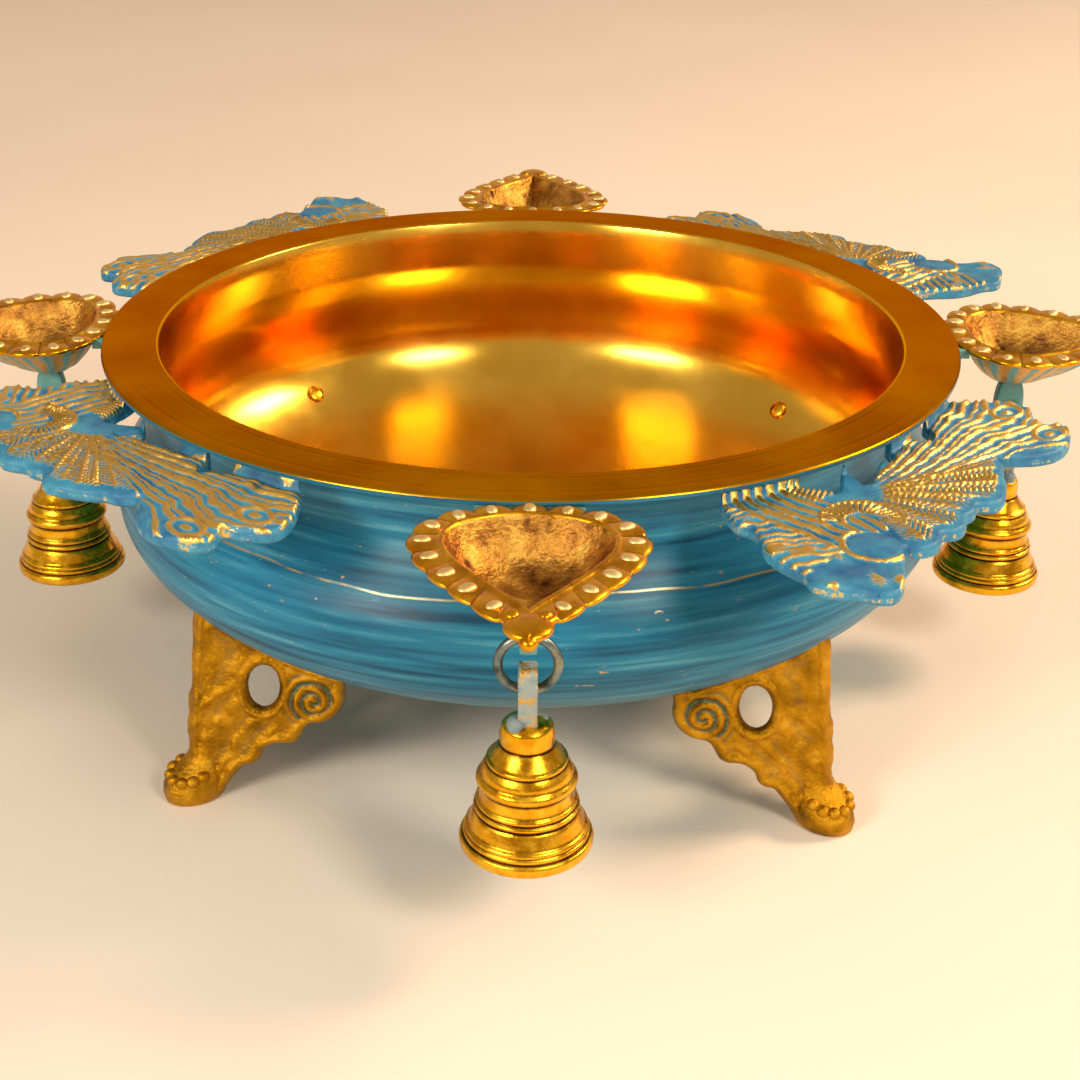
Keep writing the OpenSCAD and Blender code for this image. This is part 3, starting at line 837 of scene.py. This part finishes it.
# %% [markdown]
# ## Feet
# A foot is two pierced wings that meet in a ridge, over a paw-like toe with a row of beads. Its top
# follows the bowl's belly. The distance along a wing is s, and its radius from the bowl's axis gives
# the belly's height there, so the wing ends just inside the bowl's wall.

# %% Foot wings
RIDGE_R = 118.0
RIVET_Z = 53.0
WING_T = 5.5
FOOT_AZ = {name: -48.6 + 90 * k for k, name in enumerate(CORNERS)}
LEAN = math.radians(8)
s = np.linspace(40, -2, 43)
HALF = math.sqrt(0.5)
top_edge = np.column_stack([s, belly_height(np.hypot(RIDGE_R - s * HALF, s * HALF)) + 5])
a = np.radians(np.linspace(-80, 20, 12))
scroll = np.column_stack([32 + 8.5 * np.cos(a), 35.5 + 8.5 * np.sin(a)])
LEAF_EDGE = [
    [-2, 0], [7.5, 0], [9.5, 4.5], [12, 8.5], [14, 11.4], [16.5, 11.6], [18.4, 13.6], [18.6, 16.2],
    [21, 18.6], [23.6, 19.7], [26, 19.4], [28.2, 20.6], [29.2, 23], [31, 26.5]]
a = np.radians(np.linspace(0, 330, 12))
eyelet = np.column_stack([17.8 + 4.6 * np.cos(a), 36 + 6.8 * np.sin(a)])


def wing_face(s, z, edge):
    """Leaf relief of a wing: a scroll, a rolled edge, a ring round the eyelet and flowing veins. Gives
    the height in mm and how rubbed each spot is; only the scroll keeps dark hollows."""
    rho, theta = np.hypot(s - 32, z - 34), np.arctan2(z - 34, s - 32)
    curl = ribs(rho / 3.1 - theta / (2 * np.pi), 1.1) * (1 - smooth(rho, 7.4, 8.6))
    lumps = wander(np.stack([s, z, 0 * s], 1), 15, 12)
    veins = ribs((s - 0.35 * z + 3.5 * np.sin(z / 8)) / 7.5 + 0.4 * lumps, 1.6)
    veins = veins * smooth(rho, 8.5, 10) * smooth(edge, 1.5, 3)
    roll = cord(edge - 1.9, 1.0)
    line = np.maximum.reduce([curl, 0.6 * veins, 0.9 * roll]) * np.clip(0.85 + 0.4 * lumps, 0.3, 1.1)
    return 1.1 * line + 0.3 * lumps, line + 0.32 * smooth(rho, 7, 10)


flat, triangles, edge = sheet([soften(np.vstack([LEAF_EDGE, scroll, top_edge])), soften(eyelet, 1)])
height, line = wing_face(*flat.T, edge)
face = WING_T / 2 - 1.0 + height - rounded(edge, 1.2) + 0.2 * wander(flat @ np.eye(2, 3), 6, 2)
wing, wing_faces = slab(flat, triangles, face, -face)
wing_raised = 0.35 + 0.2 * wander(wing, 6, 3)
wing_raised[:2 * len(flat)] = np.tile(0.06 + 0.75 * line, 2)


# %% Posts, toes and whole feet
# Each ring: middle, half length outwards, half width and height.
TOE_RINGS = [
    (6.4, 8.2, 6.4, 0), (6.6, 8.9, 7, 0.7), (6.8, 9, 7.3, 2.6), (6.5, 8.8, 7.3, 5), (5.6, 8, 6.9, 7.4),
    (4.4, 6.6, 6.1, 9.2), (3.2, 5.1, 5.4, 11), (2.4, 4.5, 4.9, 13.5), (1.8, 4.2, 4.6, 18)]
INTO_WALL = 0.7


def foot_parts():
    """All parts of a foot, with the top of its ridge at RIDGE_R on +X."""
    parts, raised = [], []
    for turn_by in (135, 225):
        x, y, z = spin(wing[:, [0, 2, 1]] * [1, -1, 1], turn_by).T
        z = z - RIVET_Z
        c, s = math.cos(LEAN), math.sin(LEAN)
        p = np.column_stack([x * c - z * s + RIDGE_R, y, z * c + x * s + RIVET_Z])
        p[:, 2] = np.maximum(p[:, 2], 0)
        join(parts, raised, (p, wing_faces), 0, wing_raised)
    post_rings = [(-2.6 + (RIVET_Z - z) * math.tan(LEAN), 4.1, 4.1, z) for z in np.linspace(22, 62, 11)]
    a = np.linspace(0, 2 * np.pi, 40, endpoint=False)
    rings = []
    for middle, long, wide, z in TOE_RINGS + post_rings:
        square = 1 + 0.10 * np.cos(4 * a) * smooth(z, 10, 20)
        x, y = middle + long * square * np.cos(a), wide * square * np.sin(a)
        rings.append(np.column_stack([x, y, np.full(len(a), z)]))
    toe, toe_faces = skin(np.array(rings))
    toe[:, :2] *= 1 + 0.05 * wander(toe, 9, 6)[:, None] * smooth(toe[:, 2], 1, 5)[:, None]
    join(parts, raised, (toe + [RIDGE_R, 0, 0], toe_faces), 0, 0.5 + 0.3 * wander(toe, 6, 7))
    for lean in np.linspace(-95, 95, 7):
        c, s = math.cos(math.radians(lean)), math.sin(math.radians(lean))
        centre = [RIDGE_R + 7.6 + 5.6 * c, 5.8 * s, 8.2 - 1.4 * c]
        join(parts, raised, blob(centre, [2.0, 1.8, 1.7], 14), 0, 0.95)
    for p, *_ in parts:
        p[:, 2] = np.minimum(p[:, 2], belly_height(np.hypot(p[:, 0], p[:, 1])) + INTO_WALL)
    return parts, np.concatenate(raised)


parts, raised = foot_parts()
for name, azimuth in FOOT_AZ.items():
    placed = turned_to(azimuth, parts)
    piece("foot_" + name + "_cast", placed, "root", [foot_gold], ["foot_" + name],
          {"raised": raised})

# %% [markdown]
# ## Rings, bells and clappers
# A wire ring hangs in each lug and a bell hangs in the ring. The bell is turned, with fine ridges, and
# has a cast lug. Inside, a staple of wire holds a clapper, so that the bell really rings.


# %% Bell and wire metals
def turned_bell_brass():
    """Bell brass: yellow and bright, ringed by the turning tool, dark in the crevices between ridges."""
    material, tree, shader, place = new_material("turned bell brass")
    stains = noise(tree, place, 4, 5)
    pits = noise(tree, place, 0.8, 4)
    raised = add(tree, "Attribute", attribute_name="raised").outputs["Fac"]
    gold = ramp(tree, stains, (0.35, "DA9812"), (0.62, "F4C030"))
    lit = fade(tree, maths(tree, "ADD", raised, maths(tree, "MULTIPLY", pits, 0.2)), 0.25, 0.6)
    metal(tree, shader, mix(tree, lit, linear("4A2A08"), gold), fade(tree, stains, 0.3, 0.7, 0.16, 0.34))
    bump(tree, shader, pits, 0.04)
    return material


bell_gold = turned_bell_brass()
# The rings and staples are steel wire gone grey, and the bells' lugs are cast and never cleaned.
wire_steel = cast_brass(
    "aged steel wire", ("55666C", "84908E", "A79C78"), (0.28, 0.45), 0.9, 0.08, "39474E")
lug_patina = rubbed_patina(
    "blue-grey cast patina", "41617C", "93A6A8", "D9AE56", 0.5, 0.66, 0.4, 0.45, 0.55)
dark_iron = cast_brass("dull clapper metal", ("5A564E", "77726A", "8A847A"), (0.35, 0.5), depth_mm=0.05)

# %% Bell outline
BELL_OUT = [
    [15.8, 0], [16.3, 0.5], [16.4, 2.2], [16.0, 3.0], [15.2, 3.3], [15.5, 3.8], [15.4, 4.4], [14.8, 4.7],
    [15.1, 5.2], [14.8, 5.7], [14.2, 6.1], [13.7, 7.5], [13.0, 9.4], [12.3, 10.3], [12.8, 10.7],
    [12.9, 11.3], [12.4, 11.7], [12.0, 12.0], [12.4, 12.5], [12.3, 13.0], [11.7, 13.4], [11.4, 14.6],
    [11.2, 16.2], [11.2, 17.0], [11.9, 17.4], [12.3, 18.2], [12.2, 19.0], [11.7, 19.6], [11.2, 20.1],
    [10.9, 21.4], [10.2, 22.6], [9.6, 23.3], [9.9, 23.7], [9.8, 24.2], [9.2, 24.5], [8.4, 25.5],
    [7.6, 26.6], [6.9, 27.6], [6.3, 28.2], [6.6, 28.6], [6.6, 31.0], [6.2, 33.0], [5.2, 34.0],
    [3.2, 34.5], [0.3, 34.6]]
BELL_IN = [
    [0.3, 27.6], [4.8, 27.6], [6.6, 26], [8.8, 21], [9.6, 17], [9.8, 13], [11.6, 9], [13.4, 5],
    [14.4, 2], [14.8, 0]]
BELL_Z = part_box("bell_front")[0].z / MM
STAPLE_Z = BELL_Z + 25.0
CLAPPER_EYE_Z = STAPLE_Z - 2.3


def dense(profile, step=0.3):
    """A profile in steps of about the given length, its corners rounded by averaging neighbours."""
    p = np.array(profile, float)
    s = np.concatenate([[0], np.cumsum(np.linalg.norm(np.diff(p, axis=0), axis=1))])
    at = np.linspace(0, s[-1], int(s[-1] / step) + 1)
    p = np.stack([np.interp(at, s, p[:, 0]), np.interp(at, s, p[:, 1])], 1)
    p[1:-1] = (p[:-2] + 2 * p[1:-1] + p[2:]) / 4
    return p


outer, inner = dense(BELL_OUT), dense(BELL_IN, 0.8)
rows = np.vstack([outer, [[0.3, 34.0], [0.3, 28.2]], inner])
usual = np.convolve(np.pad(outer[:, 0], 4, "edge"), np.ones(9) / 9, "valid")
proud = np.clip(0.58 + 2.2 * (outer[:, 0] - usual), 0, 1)
ridge = np.concatenate([proud, np.full(len(rows) - len(outer), 0.35)])
BELL_STEPS = 112
BELL_LUG_REACH = (4.5, 7.3, 4.5, 10.5)
TURNED, PATINA = range(2)


def wire_loop(radius, wire, centre, across, steps=64, around=14):
    """A closed ring of wire whose plane holds Z and one level direction."""
    a = np.linspace(0, 2 * np.pi, steps, endpoint=False)[:, None]
    path = np.array(centre) + radius * (np.cos(a) * np.array(across) + np.sin(a) * np.array([0, 0, 1.0]))
    return skin(tube_rings(path, wire, around), loop=True)


def bell_parts(seed):
    """Turned bell, its crown lump and its lug, hanging on +X."""
    points, faces = skin(turned_rings(rows + [0, BELL_Z], BELL_STEPS), loop=True)
    parts, raised = [], []
    join(parts, raised, (points + [HANG_R, 0, 0], faces), TURNED, np.repeat(ridge, BELL_STEPS))
    hole_z = RING_Z - RING_R - 0.45
    lug, lug_faces = plate_with_hole((HANG_R, hole_z, 2.3), BELL_LUG_REACH, 4.6, 3)
    off_hole = np.abs(lug - [HANG_R, 0, hole_z]).max(1) > 2.6
    lug = lug + 0.16 * (wander(lug, 3, seed) * off_hole)[:, None]
    rubbed = 0.45 + 0.35 * wander(lug, 4, seed) + 0.5 * smooth(66 - lug[:, 2], 0, 3)
    join(parts, raised, (lug, lug_faces), PATINA, rubbed)
    for offset, radii in (([2.4, -2.6, 34], [2.6, 2.4, 2.6]), ([-2, 2.6, 33], [2.8, 2.4, 1.8])):
        lump, lump_faces = blob(np.array([HANG_R, 0, BELL_Z]) + offset, radii, 20)
        lump = lump + 0.6 * wander(lump, 4, seed + 9)[:, None]
        join(parts, raised, (lump, lump_faces), PATINA, 0.2)
    return parts, np.concatenate(raised)


# %% Hang the rings, bells, staples and clappers
WIRE_R = 1.15
EYE_R = 2.0
EYE_WIRE_R = 0.6
CLAPPER_BALL_R = 3.6
BALL_Z = BELL_Z + 6


def hang(kind, side, body, parts, materials, raised):
    """One hanging piece, turned to its side of the bowl."""
    name = kind + "_" + side
    placed = turned_to(SIDES[side], parts)
    piece(name + "_made", placed, body + "_" + side, materials, [name], {"raised": raised})


def plain(parts, value):
    """The same raised value for every point of the parts."""
    return np.full(sum(len(part[0]) for part in parts), value)


def staple_parts():
    """A wire eye and the stub that fixes it in the bell's crown."""
    eye_part = wire_loop(EYE_R, EYE_WIRE_R, [HANG_R, 0, STAPLE_Z], [0, 1, 0], 32, 10)
    post, post_faces = skin(turned_rings([[1.15, 1.9], [1.15, 2.6]], 24))
    return [eye_part, (post + [HANG_R, 0, STAPLE_Z], post_faces)]


def clapper_parts():
    """A wire eye, a rod and a ball in one casting."""
    length = CLAPPER_EYE_Z - EYE_R - BALL_Z
    a = np.radians(np.linspace(66, -88, 18))
    ball = np.stack([CLAPPER_BALL_R * np.cos(a), CLAPPER_BALL_R * np.sin(a)], 1)
    rod = np.vstack([[[0.9, length], [0.9, 4.5], [1.4, 3.6]], ball])[::-1]
    points, faces = skin(turned_rings(rod, 32))
    eye_part = wire_loop(EYE_R, EYE_WIRE_R, [HANG_R, 0, CLAPPER_EYE_Z], [1, 0, 0], 32, 10)
    return [eye_part, (points + [HANG_R, 0, BALL_Z], faces)]


for seed, name in enumerate(SIDES):
    wire, wire_faces = wire_loop(RING_R, WIRE_R, [HANG_R, 0, RING_Z], [0, 1, 0], 96, 18)
    wire = wire + 0.05 * wander(wire, 5, seed)[:, None]
    rubbed = 0.3 + 0.3 * wander(wire, 5, seed)
    hang("ring", name, "ring", [(wire, wire_faces)], [wire_steel], rubbed)
    bell, bell_raised = bell_parts(seed)
    hang("bell", name, "bell", bell, [bell_gold, lug_patina], bell_raised)
    staple = staple_parts()
    hang("staple", name, "bell", staple, [wire_steel], plain(staple, 0.4))
    clapper = clapper_parts()
    hang("clapper", name, "clapper", clapper, [dark_iron], plain(clapper, 0.5))

# %% [markdown]
# ## Rivets
# Each foot is held by one rivet through the bowl's wall. Its domed head shows inside, square to the
# wall. The wall's slope there comes from the ellipse: its normal is (r / R^2, z / D^2), scaled to 1.

# %% Rivets
rivet_r = BELLY_R * math.sqrt(1 - ((BELLY_Z - RIVET_Z) / BOTTOM_DROP) ** 2)
normal = np.array([rivet_r / BELLY_R ** 2, (RIVET_Z - BELLY_Z) / BOTTOM_DROP ** 2])
out_r, out_z = normal / np.linalg.norm(normal)
a = np.radians(np.linspace(0, 88, 10))
SHANK_R, SHANK_LENGTH, HEAD_R = 1.9, 4, 3
shank = [[SHANK_R, -SHANK_LENGTH], [SHANK_R, 0], [HEAD_R - 0.1, 0]]
dome = np.vstack([shank, np.stack([HEAD_R * np.cos(a), 0.1 + 1.0 * np.sin(a)], 1)])
head, head_faces = skin(turned_rings(dome, 48))
x, y, up = head.T
base = np.array([rivet_r, RIVET_Z]) - (WALL + 0.2) * np.array([out_r, out_z])
head = np.column_stack([base[0] - out_z * x - out_r * up, y, base[1] + out_r * x - out_z * up])
parts = [turned_to(azimuth, [(head, head_faces)])[0] for azimuth in FOOT_AZ.values()]
piece("foot_rivets_domed", parts, "root", [bell_gold], ["foot_rivets"],
      {"raised": np.full(4 * len(head), 0.6)})

# %% [markdown]
# ## Floor and light
# The floor is plain and pale. Metal shows what stands round it, so the lights are soft panels. The two
# in front make the pair of highlights inside the bowl. The key on the right throws the shadows to the
# left and makes the bright spot on the bowl's left wall. A low glow behind gives the flat rim something
# warm to mirror, and the world fills the shadows. Colours are shown as they are, with no film curve, so
# that brass stays golden where it is bright.


# %% Floor
def floor_paint():
    """Plain cream floor with a barely visible cloudiness."""
    material, tree, shader, place = new_material("plain cream floor")
    cream = ramp(tree, noise(tree, place, 400, 2), (0.3, "F2E9DC"), (0.7, "F8F1E6"))
    tree.links.new(cream, shader.inputs["Base Color"])
    shader.inputs["Roughness"].default_value = 0.6
    return material


mesh = bpy.data.meshes.new("floor")
mesh.from_pydata([(-4, -4, 0), (4, -4, 0), (4, 6, 0), (-4, 6, 0)], [], [(0, 1, 2, 3)])
mesh.materials.append(floor_paint())
floor = bpy.data.objects.new("floor", mesh)
bpy.context.scene.collection.objects.link(floor)


# %% Lights and world
def panel(name, at, towards, wide, tall, watts, colour):
    """A soft rectangular light in metres, aimed at a point."""
    light = bpy.data.lights.new(name, "AREA")
    light.shape = "RECTANGLE"
    light.size, light.size_y = wide, tall
    light.energy = watts
    light.color = linear(colour)[:3]
    lamp = bpy.data.objects.new(name, light)
    lamp.location = at
    lamp.rotation_euler = (Vector(towards) - Vector(at)).to_track_quat("-Z", "Y").to_euler()
    bpy.context.scene.collection.objects.link(lamp)


panel("front left", (-0.72, -0.84, 0.62), (0, 0, 0.06), 0.42, 0.27, 8, "FFEEDA")
panel("front right", (0.60, -0.80, 0.78), (0, 0, 0.06), 0.30, 0.24, 6.2, "FFEEDA")
panel("key from the right", (1.55, 0.35, 1.15), (0.1, 0, 0), 0.5, 0.42, 29, "FFD8B0")
panel("glow behind", (0, 2.2, 0.7), (0, 0, 0.1), 3.0, 0.8, 2.5, "FFC078")
world = bpy.data.worlds.new("warm studio")
world.use_nodes = True
world.node_tree.nodes["Background"].inputs["Color"].default_value = linear("FFE6CC")
world.node_tree.nodes["Background"].inputs["Strength"].default_value = 0.45
bpy.context.scene.world = world
bpy.context.scene.view_settings.view_transform = "Standard"
